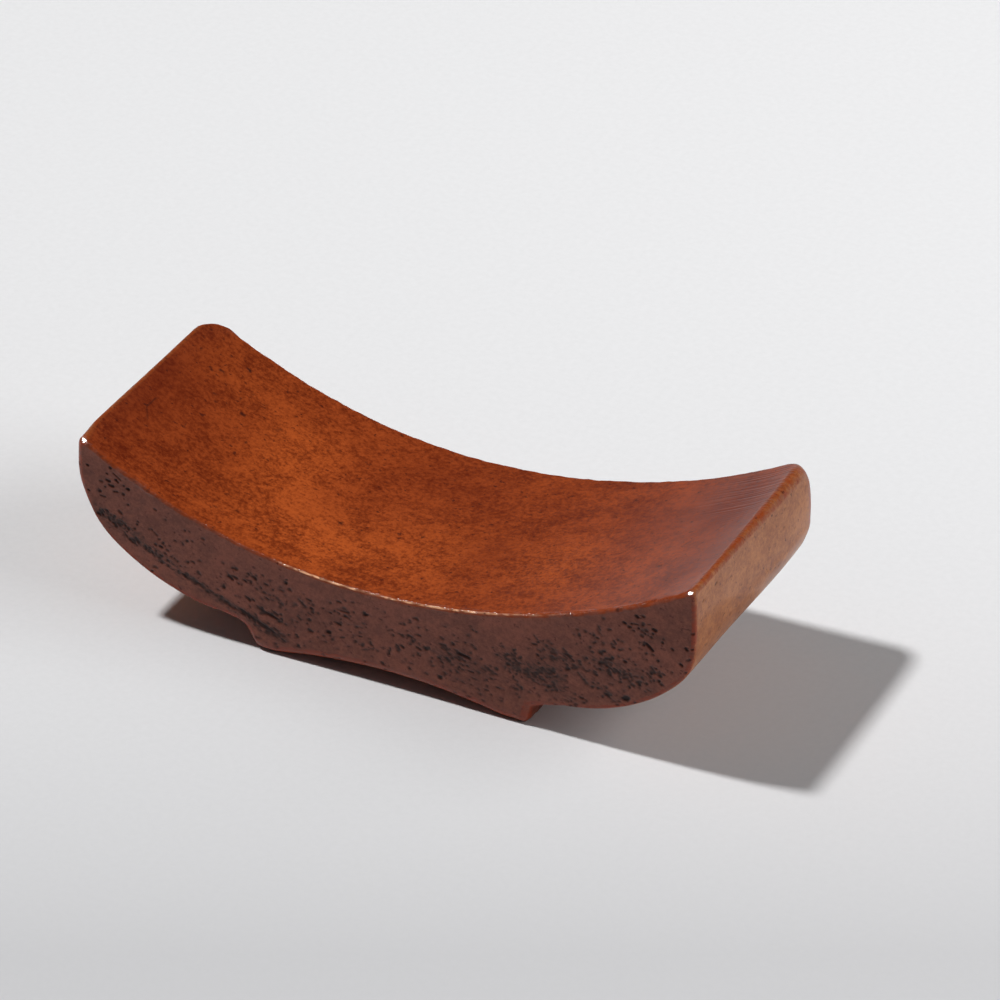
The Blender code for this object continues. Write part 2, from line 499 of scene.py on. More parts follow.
# Where pores crowd together on the near side, as (x, z, half length along the grain, half width, count)
NEAR_CLUSTERS = (
    (-31.0, 11.3, 2.6, 0.36, 28),
    (-27.0, 8.8, 2.8, 0.26, 28),
    (-22.0, 6.5, 3.4, 0.17, 28),
    (-17.0, 4.5, 3.0, 0.15, 26),
    (-13.0, 2.9, 2.4, 0.4, 22),
    (-12.8, 4.9, 1.6, 0.15, 9),
    (-30.6, 15.7, 1.6, 1.2, 9),
    (-24.0, 10.0, 5.5, 1.6, 16),
    (-15.5, 8.1, 3.5, 1.3, 16),
    (-9.5, 6.1, 4.0, 1.6, 18),
    (-4.5, 6.9, 3.0, 1.2, 13),
    (-1.5, 4.1, 4.5, 1.2, 14),
    (3.5, 6.5, 3.5, 1.2, 18),
    (8.5, 6.1, 2.6, 1.0, 22),
    (9.5, 3.5, 4.5, 1.2, 20),
    (15.5, 7.2, 2.4, 0.7, 32),
    (19.3, 7.3, 1.6, 0.7, 26),
    (20.5, 9.4, 3.2, 0.8, 30),
    (14.0, 4.9, 4.0, 0.9, 22),
    (20.0, 5.4, 3.5, 0.5, 18),
    (25.8, 9.9, 2.6, 0.8, 34),
    (24.5, 12.5, 2.4, 1.3, 18),
    (29.5, 15.3, 2.6, 0.9, 16),
    (30.0, 10.1, 2.4, 1.3, 22),
    (26.0, 6.9, 2.2, 0.7, 18),
)

# Single large pores on the near side, as (x, z, length, width, direction)
NEAR_LARGE = (
    (-14.2, 3.55, 4.6, 0.26, -24.0),
    (-12.9, 4.85, 2.4, 0.22, -18.0),
    (9.4, 6.5, 1.5, 0.34, -8.0),
    (6.75, 3.0, 0.55, 0.55, -60.0),
    (27.6, 6.75, 0.75, 0.55, 0.0),
    (30.1, 13.7, 1.2, 0.3, -42.0),
    (-29.2, 15.5, 0.55, 0.42, -20.0),
    (-10.9, 9.3, 0.45, 0.38, -20.0),
    (-1.8, 8.2, 0.6, 0.4, -50.0),
    (-6.0, 4.7, 0.7, 0.4, -10.0),
)
LARGE_STRENGTH = 1.2

# Clusters on the far side follow the hull up towards both ends
FAR_CLUSTERS = 26
FAR_CLUSTER_X = 31.0
FAR_CLUSTER_Z = (2.0, 8.5)
FAR_CLUSTER_CURL = 6.0
FAR_CLUSTER_ALONG = (1.5, 4.0)
FAR_CLUSTER_BESIDE = (0.3, 1.3)
FAR_CLUSTER_COUNT = (8, 22)

# The right end face shows small pores cut across, and the rest of the hull has clusters along the grain.
# Their places are lengths along the lower outline, in from its right end or from both of its ends.
END_GRAIN_PORES = 110
END_GRAIN_PLACE = (4.5, 24.0)
END_GRAIN_INSET = 0.8
END_GRAIN_WIDTH = (0.1, 0.26)
END_GRAIN_LENGTH = (1.0, 0.08)
END_GRAIN_STRENGTH = 0.5
HULL_CLUSTERS = 34
HULL_CLUSTER_PLACE = (24.0, 26.0)
HULL_CLUSTER_INSET = 1.0
HULL_CLUSTER_ALONG = (2.0, 5.0)
HULL_CLUSTER_BESIDE = (0.2, 0.9)
HULL_CLUSTER_COUNT = (4, 9)

# Shallow specks on top that the varnish hasn't quite filled
TOP_SPECKS = 90
TOP_SPECK_INSET = (2.0, 1.5, 1.0)
TOP_SPECK_WIDTH = (0.12, 0.24)
TOP_SPECK_LENGTH = (1.2, 0.12)
TOP_SPECK_LEAN = (-8.0, 30.0)
TOP_SPECK_STRENGTH = (0.25, 0.8)

# Marks on the top that stand out, as (x, y, length, width, direction, strength)
TOP_MARKS = (
    (-30.15, 7.7, 0.5, 0.3, 20.0, 0.8),
    (-28.35, 10.5, 0.6, 0.35, -20.0, 1.0),
    (-25.66, 4.05, 0.6, 0.35, 10.0, 0.8),
    (-9.7, -4.35, 0.75, 0.25, 40.0, 0.8),
    (-1.15, -2.5, 0.75, 0.24, 70.0, 0.8),
    (-31.94, -4.76, 1.9, 0.1, 122.0, 0.5),
    (-32.43, -2.95, 2.1, 0.1, 89.0, 0.55),
    (-31.67, -1.78, 1.5, 0.1, 11.0, 0.5),
)


class Pores:
    """Open pores on one surface, as slots: middle, half length, half width, direction and strength."""

    def __init__(self, lean_deg=GRAIN_DEG):
        self.lean_deg = lean_deg
        self.rows = []
        self.clusters = []

    def add(self, x, z, length, width, degrees, strength):
        self.rows.append((x, z, length / 2, width / 2, math.radians(degrees), strength))

    def add_singles(self, rng, count, end_x):
        """Lone pores all over a flat side, fewer towards the left end."""
        for _ in range(count):
            x = end_x * (1.0 - 2.0 * rng.uniform(0.0, 1.0) ** SINGLES_THINNING)
            z = rng.uniform(SINGLE_ABOVE, float(saddle_height(x)) - SINGLE_BELOW_SADDLE)
            width = rng.uniform(*SINGLE_WIDTH)
            length = width + rng.gamma(*SINGLE_LENGTH)
            degrees = self.lean_deg + rng.normal(0.0, SINGLE_TURN_DEG)
            self.add(x, z, length, width, degrees, rng.uniform(*SINGLE_STRENGTH))

    def scatter(self, x, z, along, beside, count, rng):
        """A cluster of pores about one place, longer along the grain than beside it."""
        lean = math.radians(self.lean_deg)
        self.clusters.append((x, z, along + CROWD_MARGIN[0], beside + CROWD_MARGIN[1], CROWD_SHARE * count))
        for _ in range(int(count * PORE_COUNT)):
            u = rng.normal(0.0, along * CLUSTER_SPREAD[0])
            v = rng.normal(0.0, beside * CLUSTER_SPREAD[1])
            length = min(CLUSTER_MOST_LENGTH, CLUSTER_LEAST_LENGTH + rng.gamma(*CLUSTER_LENGTH))
            width = rng.uniform(*CLUSTER_WIDTH)
            strength = rng.uniform(*CLUSTER_STRENGTH)
            degrees = self.lean_deg + rng.normal(0.0, CLUSTER_TURN_DEG)
            pore_x = x + u * math.cos(lean) - v * math.sin(lean)
            pore_z = z + u * math.sin(lean) + v * math.cos(lean)
            self.add(pore_x, pore_z, max(length, width), width, degrees, strength)

    def reach(self, x, z, wobble):
        """How deep the pores go at each point, how dark they are there, and the gap to the nearest one."""
        depth = np.zeros(len(x))
        dark = np.zeros(len(x))
        gap = np.full(len(x), FAR_AWAY)
        for px, pz, half_length, half_width, lean, strength in self.rows:
            margin = half_length + PORE_MARGIN
            near = np.where((np.abs(x - px) < margin) & (np.abs(z - pz) < margin))[0]
            if not len(near):
                continue
            dx = x[near] - px
            dz = z[near] - pz
            u = dx * math.cos(lean) + dz * math.sin(lean)
            v = -dx * math.sin(lean) + dz * math.cos(lean)
            straight = max(half_length - half_width, 0.0)
            rim = half_width * (1.0 + RIM_WOBBLE * wobble[near])
            away = np.hypot(np.maximum(np.abs(u) - straight, 0.0), v) - rim
            gap[near] = np.minimum(gap[near], away)
            depth[near] = np.maximum(depth[near], PORE_DEPTH * strength * smooth_step(*WALL_FADE, away))
            dark[near] = np.maximum(dark[near], strength * smooth_step(*DARK_FADE, away))
        return depth, dark, gap

    def crowding(self, x, z):
        """How porous the wood is around each point, from 0 to 1."""
        lean = math.radians(self.lean_deg)
        total = np.zeros(len(x))
        for px, pz, along, beside, count in self.clusters:
            u = (x - px) * math.cos(lean) + (z - pz) * math.sin(lean)
            v = -(x - px) * math.sin(lean) + (z - pz) * math.cos(lean)
            total += count / (along * beside) * np.exp(-((u / along) ** 2 + (v / beside) ** 2))
        return 1.0 - np.exp(-total / CROWD_FULL)


def near_side_pores(rng, end_x):
    pores = Pores()
    for cluster in NEAR_CLUSTERS:
        pores.scatter(*cluster, rng)
    for slot in NEAR_LARGE:
        pores.add(*slot, LARGE_STRENGTH)
    pores.add_singles(rng, SINGLES_NEAR, end_x)
    return pores


def far_side_pores(rng, end_x):
    pores = Pores()
    pores.add_singles(rng, SINGLES_FAR, end_x)
    for _ in range(FAR_CLUSTERS):
        x = rng.uniform(-FAR_CLUSTER_X, FAR_CLUSTER_X)
        z = rng.uniform(*FAR_CLUSTER_Z) + (x / end_x) ** 2 * FAR_CLUSTER_CURL
        along = rng.uniform(*FAR_CLUSTER_ALONG)
        beside = rng.uniform(*FAR_CLUSTER_BESIDE)
        pores.scatter(x, z, along, beside, int(rng.integers(*FAR_CLUSTER_COUNT)), rng)
    return pores


def hull_pores(rng, length, half_width):
    """Pores on the hull and both ends, placed by the length along the outline and by y."""
    pores = Pores(lean_deg=0.0)
    inset = half_width - END_GRAIN_INSET
    for _ in range(END_GRAIN_PORES):
        width = rng.uniform(*END_GRAIN_WIDTH)
        along = length - rng.uniform(*END_GRAIN_PLACE)
        beside = rng.uniform(-inset, inset)
        pore_length = width + rng.gamma(*END_GRAIN_LENGTH)
        pores.add(along, beside, pore_length, width, rng.uniform(-90.0, 90.0), END_GRAIN_STRENGTH)
    inset = half_width - HULL_CLUSTER_INSET
    for _ in range(HULL_CLUSTERS):
        x = rng.uniform(HULL_CLUSTER_PLACE[0], length - HULL_CLUSTER_PLACE[1])
        y = rng.uniform(-inset, inset)
        along = rng.uniform(*HULL_CLUSTER_ALONG)
        beside = rng.uniform(*HULL_CLUSTER_BESIDE)
        pores.scatter(x, y, along, beside, int(rng.integers(*HULL_CLUSTER_COUNT)), rng)
    return pores


def top_flecks(rng, end_x, half_width):
    pores = Pores(lean_deg=0.0)
    end_inset, near_inset, far_inset = TOP_SPECK_INSET
    for _ in range(TOP_SPECKS):
        x = rng.uniform(-end_x + end_inset, end_x - end_inset)
        y = rng.uniform(-half_width + near_inset, half_width - far_inset)
        width = rng.uniform(*TOP_SPECK_WIDTH)
        length = width + rng.gamma(*TOP_SPECK_LENGTH)
        degrees = rng.normal(*TOP_SPECK_LEAN)
        pores.add(x, y, length, width, degrees, rng.uniform(*TOP_SPECK_STRENGTH))
    for mark in TOP_MARKS:
        pores.add(*mark)
    return pores


class PoreMap:
    """All the pores, each set on the part of the surface that it belongs to."""

    def __init__(self, block, rng):
        length = np.linalg.norm(np.diff(block.outline, axis=0), axis=1).sum()
        self.near = near_side_pores(rng, block.end_x)
        self.far = far_side_pores(rng, block.end_x)
        self.hull = hull_pores(rng, length, block.half_width)
        self.top = top_flecks(rng, block.end_x, block.half_width)

    def charts(self, points, shares):
        """Each set of pores with the points that it can reach and their two coordinates on its surface."""
        x, y, z = points.T
        return (
            (self.near, (shares["side"] > ON_SIDE) & (y < 0), x, z),
            (self.far, (shares["side"] > ON_SIDE) & (y > 0), x, z),
            (self.hull, shares["low"] > ON_HULL, shares["station"], y),
            (self.top, shares["top"] > ON_TOP, x, y),
        )

    def fields(self, points, shares, wobble):
        """The depth and darkness of the pores at each point, the gap to the nearest, and their crowding."""
        depth = np.zeros(len(points))
        dark = np.zeros(len(points))
        gap = np.full(len(points), FAR_AWAY)
        porous = np.zeros(len(points))
        for pores, chosen, u, v in self.charts(points, shares):
            on = np.where(chosen)[0]
            depth[on], dark[on], gap[on] = pores.reach(u[on], v[on], wobble[on])
            porous[on] = pores.crowding(u[on], v[on])
        return depth, dark, gap, porous


# Unevenness left by hand shaping, as (size of the lumps, height): all over, and more along the top edges,
# where the far edge has only a share of it
WAVES = ((11.0, 0.055), (4.5, 0.022), (1.6, 0.006))
EDGE_WAVES = ((2.6, 0.04), (0.9, 0.045), (0.42, 0.034))
NEAR_SIDE_FADE = (2.0, -2.0)
FAR_EDGE_SHARE = 0.4
# Shaping fades out at the soles, which stay flat
SOLE_FADE = (0.05, 0.6)
# The far side stands a little proud on its left half, short of the end
FAR_SWELL = 0.12
FAR_SWELL_Y = (2.0, 8.0)
FAR_SWELL_RIGHT = (10.0, 0.0)
FAR_SWELL_LEFT = (-33.0, -26.0)
# The hull stands a little proud of its plain arcs outside the feet
HULL_SWELL = 0.13
HULL_SWELL_X = (17.0, 21.0)
HULL_SWELL_Z = (14.0, 9.0)

# How far the ends stand out along X. The whole right end does so most in the middle of its width.
# The other two bulges are fullest at a height of their own, and nil at their reach above and below it.
RIGHT_END_BULGE = 0.2
RIGHT_END_BULGE_IN = (8.0, 1.0)
LEFT_BULGE = 0.35
LEFT_BULGE_Z = 15.5
LEFT_BULGE_REACH = 5.5
LEFT_BULGE_X = (-29.0, -34.0)
FAR_RIGHT_BULGE = 0.62
FAR_RIGHT_BULGE_Z = 14.5
FAR_RIGHT_BULGE_REACH = 7.0
FAR_RIGHT_BULGE_X = (28.0, 34.0)
FAR_RIGHT_BULGE_Y = (-6.0, 10.0)
# How far the top sinks towards the far right corner
FAR_RIGHT_SINK = 0.1
FAR_RIGHT_SINK_X = (16.0, 33.0)
FAR_RIGHT_SINK_Y = (3.0, 14.0)
FAR_RIGHT_SINK_Z = (12.0, 18.0)

# Painted highlight: a bright glint line painted on the crest of the near edge of the saddle, where the key
# light glances off it, broken up by lumps, as (size, fade)
PAINTED_GLINT_CREST = (1.72, 1.95)
PAINTED_GLINT_LEFT = (-13.0, -9.0)
PAINTED_GLINT_RIGHT = (23.0, 6.0)
PAINTED_GLINT_LEAST = 0.12
PAINTED_GLINT_SMALL = (0.4, (-0.3, 0.4))
PAINTED_GLINT_LARGE = (1.8, (-1.0, 0.2))
# Fine scrape lines: along the near edge of the left half, and over the far right of the saddle
SCRAPED_NEAR = 0.5
SCRAPED_NEAR_Y = (-7.0, -12.0)
SCRAPED_NEAR_X = (6.0, -14.0)
SCRAPED_FAR_Y = (1.0, 6.0)
SCRAPED_FAR_X = (23.0, 32.0)
SCRAPED_TOP = (0.8, 1.0)
# The hull turns to end grain towards both ends, whose pale colour is partly a painted sheen
END_GRAIN_X = (21.0, 29.0)

# Broad areas where the stain on top has bleached or stayed deep, as (x, y, half length, half width, weight)
BLEACHED = (
    (-10.0, -9.0, 11.0, 6.0, 0.46),
    (-18.0, 0.5, 4.5, 6.0, 0.4),
    (2.0, -5.0, 6.0, 8.0, 0.2),
    (15.5, -4.5, 4.5, 5.0, 0.3),
    (-29.0, 9.0, 5.0, 4.0, 0.24),
    (-19.0, 6.0, 5.0, 4.0, 0.2),
)
DEEP = (
    (-35.0, 0.0, 7.0, 16.0, 0.5),
    (-4.0, 9.0, 7.0, 5.0, 0.25),
    (7.0, -3.0, 1.8, 4.0, 0.3),
    (35.0, -6.0, 6.0, 9.0, 0.5),
    (30.0, 7.0, 7.5, 7.0, 0.6),
    (22.0, 3.0, 3.0, 4.0, 0.15),
    (4.0, 2.0, 3.0, 7.0, 0.15),
)


def shaping(points, shares, rng):
    """How far each point stands out from the smooth shape, along its normal."""
    x, y, z = points.T
    near = smooth_step(*NEAR_SIDE_FADE, y)
    arris = edge(shares["top"], shares["side"]) * (FAR_EDGE_SHARE + (1.0 - FAR_EDGE_SHARE) * near)
    shift = sum(height * lumps(points, size, rng) for size, height in WAVES)
    shift += arris * sum(height * lumps(points, size, rng) for size, height in EDGE_WAVES)
    far = smooth_step(*FAR_SWELL_Y, y) * smooth_step(*FAR_SWELL_RIGHT, x)
    shift += FAR_SWELL * shares["side"] * far * smooth_step(*FAR_SWELL_LEFT, x)
    outside = smooth_step(*HULL_SWELL_X, np.abs(x)) * smooth_step(*HULL_SWELL_Z, z)
    shift += HULL_SWELL * shares["low"] * outside
    return shift * (smooth_step(*SOLE_FADE, z) * (1.0 - shares["knocked"]))


def end_bulge(points, block):
    """How far each point is moved along X, so that neither end is quite flat."""
    x, y, z = points.T
    right_start, right_full = (block.end_x - inset for inset in RIGHT_END_BULGE_IN)
    bulge = RIGHT_END_BULGE * smooth_step(right_start, right_full, x)
    bulge *= 1.0 - (y / block.half_width) ** 2
    swell = np.maximum(1.0 - ((z - LEFT_BULGE_Z) / LEFT_BULGE_REACH) ** 2, 0.0)
    bulge -= LEFT_BULGE * swell * smooth_step(*LEFT_BULGE_X, x)
    far = smooth_step(*FAR_RIGHT_BULGE_Y, y) * smooth_step(*FAR_RIGHT_BULGE_X, x)
    swell = np.maximum(1.0 - ((z - FAR_RIGHT_BULGE_Z) / FAR_RIGHT_BULGE_REACH) ** 2, 0.0)
    return bulge + FAR_RIGHT_BULGE * far * swell


def far_right_sink(points):
    """How far each point is lowered."""
    x, y, z = points.T
    sunk = FAR_RIGHT_SINK * smooth_step(*FAR_RIGHT_SINK_X, x) * smooth_step(*FAR_RIGHT_SINK_Y, y)
    return sunk * smooth_step(*FAR_RIGHT_SINK_Z, z)


def round_far_left(points, block):
    """Rounds the far left corner in plan by easing its square onto a quarter disc."""
    corner_x = block.end_x - FAR_LEFT_CORNER
    corner_y = block.half_width - FAR_LEFT_CORNER
    a = (-points[:, 0] - corner_x) / FAR_LEFT_CORNER
    b = (points[:, 1] - corner_y) / FAR_LEFT_CORNER
    inside = (a > 0) & (b > 0)
    a = np.clip(a, 0.0, 1.0)
    b = np.clip(b, 0.0, 1.0)
    x = -corner_x - FAR_LEFT_CORNER * a * np.sqrt(1 - b * b / 2)
    y = corner_y + FAR_LEFT_CORNER * b * np.sqrt(1 - a * a / 2)
    eased = points.copy()
    eased[inside, 0] = x[inside]
    eased[inside, 1] = y[inside]
    return eased


def broad_areas(points, areas):
    """Soft oval areas of the top, each given by its middle, half sizes and weight."""
    x, y = points[:, 0], points[:, 1]
    total = np.zeros(len(points))
    for middle_x, middle_y, half_x, half_y, weight in areas:
        total += weight * np.exp(-((x - middle_x) / half_x) ** 2 - ((y - middle_y) / half_y) ** 2)
    return total


def painted_glint(points, shares, rng):
    """How strongly the painted highlight shows at each point, from 0 to 1."""
    x, y, _ = points.T
    core = smooth_step(*PAINTED_GLINT_CREST, edge(shares["top"], shares["side"])) * (y < 0)
    stretch = smooth_step(*PAINTED_GLINT_LEFT, x) * smooth_step(*PAINTED_GLINT_RIGHT, x)
    broken = 1.0
    for size, fade in (PAINTED_GLINT_SMALL, PAINTED_GLINT_LARGE):
        broken = broken * smooth_step(*fade, lumps(points, size, rng))
    return core * stretch * (PAINTED_GLINT_LEAST + (1.0 - PAINTED_GLINT_LEAST) * broken)


def scrape_lines(points, shares):
    """How scraped each point is, from 0 to 1."""
    x, y, _ = points.T
    scraped = SCRAPED_NEAR * smooth_step(*SCRAPED_NEAR_Y, y) * smooth_step(*SCRAPED_NEAR_X, x)
    scraped += smooth_step(*SCRAPED_FAR_Y, y) * smooth_step(*SCRAPED_FAR_X, x)
    return np.minimum(scraped, 1.0) * smooth_step(*SCRAPED_TOP, shares["top"])


def surface_values(points, shares, dark, porous, rng):
    """The numbers from 0 up that drive the material, by the name of their mesh attribute."""
    top, low, side = shares["top"], shares["low"], shares["side"]
    return {
        "pore": np.minimum(dark, 1.0),
        "porous": porous,
        "flank": side,
        "hull": low,
        "end": smooth_step(*END_GRAIN_X, np.abs(points[:, 0])) * low,
        "top_edge": edge(top, np.maximum(side, low)) * (1.0 - shares["knocked"]),
        "low_edge": edge(low, side),
        "painted_glint": painted_glint(points, shares, rng),
        "scraped": scrape_lines(points, shares),
        "bleached": broad_areas(points, BLEACHED) * top,
        "deep": broad_areas(points, DEEP) * top,
    }


def make_block():
    block = Block(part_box("rest_block")[1])
    rng = np.random.default_rng(SEED)
    pore_map = PoreMap(block, rng)
    mesh = block_mesh(block)
    for limits in REFINEMENTS:
        refine(mesh, block, pore_map, *limits)
    points, normals, shares = block.settle(coordinates(mesh))
    shift = shaping(points, shares, rng)
    depth, dark, _, porous = pore_map.fields(points, shares, lumps(points, WOBBLE_SIZE, rng))
    depth *= 1.0 - TOP_FILLING * shares["top"]
    bulge = end_bulge(points, block)
    values = surface_values(points, shares, dark, porous, rng)
    points = points + normals * (shift - depth)[:, None]
    points[:, 0] += bulge
    points[:, 2] -= far_right_sink(points)
    points = round_far_left(points, block)
    for v, p in zip(mesh.verts, points):
        v.co = p * MM
    data = bpy.data.meshes.new("carved_block")
    mesh.to_mesh(data)
    mesh.free()
    data.shade_smooth()
    for name, numbers in values.items():
        layer = data.attributes.new(name, "FLOAT", "POINT")
        layer.data.foreach_set("value", numbers.astype(np.float32))
    return add_object("carved_block", data)


class Nodes:
    """Short calls for building a node tree."""

    def __init__(self, tree):
        self.tree = tree
        texture = self.node("ShaderNodeTexCoord")
        self.place = texture.outputs["Object"]
        self.direction = texture.outputs["Generated"]

    def feed(self, socket, value):
        if isinstance(value, bpy.types.NodeSocket):
            self.tree.links.new(value, socket)
        else:
            socket.default_value = value

    def node(self, kind, **settings):
        made = self.tree.nodes.new(kind)
        for name, value in settings.items():
            setattr(made, name, value)
        return made

    def attribute(self, name):
        return self.node("ShaderNodeAttribute", attribute_name=name).outputs["Fac"]

    def noise(self, name):
        """One of NOISES, over the object's own coordinates turned about Y and scaled to its feature size."""
        sizes, lean_deg, offset, detail, roughness, distortion = NOISES[name]
        turned = self.node("ShaderNodeVectorRotate", rotation_type="Y_AXIS")
        self.feed(turned.inputs["Vector"], self.place)
        turned.inputs["Angle"].default_value = math.radians(lean_deg)
        scaled = self.node("ShaderNodeMapping")
        self.feed(scaled.inputs["Vector"], turned.outputs["Vector"])
        scaled.inputs["Scale"].default_value = [1.0 / (size * MM) for size in sizes]
        scaled.inputs["Location"].default_value = offset
        made = self.node("ShaderNodeTexNoise")
        self.feed(made.inputs["Vector"], scaled.outputs["Vector"])
        made.inputs["Scale"].default_value = 1.0
        made.inputs["Detail"].default_value = detail
        made.inputs["Roughness"].default_value = roughness
        made.inputs["Distortion"].default_value = distortion
        return made.outputs["Fac"]

    def spread(self, value, low, high, to_low=0.0, to_high=1.0, smooth=True):
        """The value eased from its range low to high onto the range to_low to to_high."""
        made = self.node("ShaderNodeMapRange", clamp=True)
        made.interpolation_type = "SMOOTHSTEP" if smooth else "LINEAR"
        self.feed(made.inputs["Value"], value)
        for name, number in zip(("From Min", "From Max", "To Min", "To Max"), (low, high, to_low, to_high)):
            made.inputs[name].default_value = number
        return made.outputs["Result"]

    def maths(self, operation, a, b=0.0):
        made = self.node("ShaderNodeMath", operation=operation)
        self.feed(made.inputs[0], a)
        self.feed(made.inputs[1], b)
        return made.outputs[0]

    def times(self, a, b):
        return self.maths("MULTIPLY", a, b)

    def weighted(self, *parts):
        """The sum of some values, each times its weight."""
        products = [self.times(value, weight) for value, weight in parts]
        total = products[0]
        for product in products[1:]:
            total = self.maths("ADD", total, product)
        return total

    def mix(self, share, a, b):
        made = self.node("ShaderNodeMix", data_type="RGBA")
        self.feed(made.inputs["Factor"], share)
        self.feed(made.inputs["A"], a if isinstance(a, bpy.types.NodeSocket) else (*a, 1.0))
        self.feed(made.inputs["B"], b if isinstance(b, bpy.types.NodeSocket) else (*b, 1.0))
        return made.outputs["Result"]


def new_material(name):
    """A material, the calls that build its node tree, and its shader."""
    material = bpy.data.materials.new(name)
    material.use_nodes = True
    return material, Nodes(material.node_tree), material.node_tree.nodes["Principled BSDF"]


# Noises, as (feature size in X, Y and Z, lean in degrees, offset, detail, roughness, distortion)
NO_OFFSET = (0.0, 0.0, 0.0)
NOISES = {
    "clouds": ((7.0, 4.5, 5.0), 0.0, NO_OFFSET, 4.0, 0.6, 0.3),
    "patches": ((1.7, 1.2, 1.2), 0.0, (5.0, 3.0, 1.0), 2.0, 0.55, 0.3),
    "fibres": ((4.0, 0.35, 0.35), GRAIN_DEG, NO_OFFSET, 3.0, 0.6, 0.0),
    "specks": ((0.5, 0.42, 0.42), GRAIN_DEG, NO_OFFSET, 3.0, 0.8, 0.0),
    "scrapes": ((11.0, 0.33, 9.0), 0.0, (3.0, 1.0, 7.0), 1.0, 0.5, 0.0),
    "wear": ((1.4, 0.8, 0.8), 0.0, NO_OFFSET, 3.0, 0.6, 0.0),
    "fine_pores": ((0.6, 0.2, 0.2), GRAIN_DEG, (2.0, 9.0, 4.0), 3.0, 0.65, 0.2),
    "halo": ((1.6, 0.7, 0.7), GRAIN_DEG, (7.0, 2.0, 1.0), 2.0, 0.5, 0.0),
    "flecks": ((0.8, 0.55, 0.55), GRAIN_DEG, (11.0, 5.0, 2.0), 2.0, 0.6, 0.0),
    "peel": ((0.9, 0.9, 0.9), 0.0, NO_OFFSET, 2.0, 0.5, 0.0),
    "beads": ((0.34, 0.34, 0.34), 0.0, (1.0, 8.0, 3.0), 2.0, 0.6, 0.0),
    "paper": ((0.8, 0.8, 0.8), 0.0, NO_OFFSET, 4.0, 0.65, 0.0),
}
# How much each noise says in the tone of the wood, and which sums are darkest and lightest
TONE_WEIGHTS = {"clouds": 0.95, "patches": 0.55, "fibres": 0.06, "specks": 1.7}
SCRAPES_IN_TONE = 0.9
TONE_RANGE = (1.14, 2.12)

TOP_DARK = (0.12, 0.0125, 0.001)
TOP_LIGHT = (0.36, 0.063, 0.0115)
TOP_BLEACHED = (0.53, 0.103, 0.017)
TOP_DEEP = (0.11, 0.0085, 0.001)
FLANK_DARK = (0.132, 0.037, 0.0215)
FLANK_LIGHT = (0.255, 0.073, 0.044)
# Underside colours: the wood's colour, set darker than the top's partly as painted shade under the block
HULL_SHADED_DARK = (0.12, 0.018, 0.004)
HULL_SHADED_PALE = (0.24, 0.042, 0.009)
# End grain colours: the wood's own end grain, made paler and greyer partly as a painted sheen of the pale
# room
END_GRAIN_DARK_AND_SHEEN = (0.225, 0.066, 0.022)
END_GRAIN_PALE_AND_SHEEN = (0.45, 0.166, 0.057)
EDGE_WORN = (0.27, 0.042, 0.006)
LOW_EDGE_WORN = (0.27, 0.042, 0.016)
# Painted highlight: the colour of the glint line on the near top edge
PAINTED_GLINT_COLOUR = (0.95, 0.5, 0.28)
FLECK = (0.045, 0.006, 0.003)
HALO = (0.056, 0.021, 0.0145)
PORE_FINE = (0.036, 0.012, 0.008)
PORE_DARK = (0.022, 0.0045, 0.003)

# How values are spread, as (low end, high end), and then what each end becomes where that isn't 0 and 1
BLEACHING = (0.0, 1.0, 0.3, 1.6)
FLANK_EDGE = (0.35, 0.8)
WEAR_PATCHES = (0.35, 0.65, 0.15, 1.0)
TOP_EDGE_WEAR = (0.25, 0.95, 0.0, 0.85)
LOW_EDGE_WEAR = (0.0, 0.6, 0.0, 0.9)
FINE_PORE_CROWDING = 0.2
FINE_PORES = (0.52, 0.74, 0.0, 0.75)
FINE_PORE_AREA = (0.0, 0.4)
FINE_PORE_EDGE = (0.1, 0.5, 1.0, 0.0)
HALO_PATCHES = (0.35, 0.6)
HALO_AREA = (0.0, 0.8, 0.0, 0.6)
FLECKS = (0.63, 0.74, 0.0, 0.75)
ROUGHNESS = (0.3, 0.7, 0.38, 0.52)
BASE_SPECULAR = 0.1
COAT_WEIGHT = 0.3
COAT_ROUGHNESS = 0.11

# What the bump is made of
BUMP_DISTANCE = 0.000012
PEEL_BUMP = 0.6
SPECK_BUMP = 0.3
SCRAPE_BUMP = 5.0
FINE_PORE_BUMP = 0.8
BEAD_BUMP = 5.0


def stained_colour(m, tone):
    """The colour of the stain and the worn edges, before the pores, with painted light: a sheen on the end
    grain, shade on the underside and a glint on the near top edge.
    """
    top = m.mix(tone, TOP_DARK, TOP_LIGHT)
    top = m.mix(m.times(m.attribute("bleached"), m.spread(tone, *BLEACHING)), top, TOP_BLEACHED)
    top = m.mix(m.attribute("deep"), top, TOP_DEEP)
    # The underside, darkened partly as painted shade
    colour = m.mix(m.attribute("hull"), top, m.mix(tone, HULL_SHADED_DARK, HULL_SHADED_PALE))
    # End grain, its pale colour partly a painted sheen
    colour = m.mix(m.attribute("end"), colour, m.mix(tone, END_GRAIN_DARK_AND_SHEEN, END_GRAIN_PALE_AND_SHEEN))
    flank = m.spread(m.attribute("flank"), *FLANK_EDGE)
    colour = m.mix(flank, colour, m.mix(tone, FLANK_DARK, FLANK_LIGHT))
    patchy = m.spread(m.noise("wear"), *WEAR_PATCHES)
    worn = m.times(m.spread(m.attribute("top_edge"), *TOP_EDGE_WEAR), patchy)
    colour = m.mix(worn, colour, EDGE_WORN)
    worn = m.times(m.spread(m.attribute("low_edge"), *LOW_EDGE_WEAR), patchy)
    colour = m.mix(worn, colour, LOW_EDGE_WORN)
    # Painted highlight: the glint line on the crest of the near top edge
    return m.mix(m.attribute("painted_glint"), colour, PAINTED_GLINT_COLOUR)


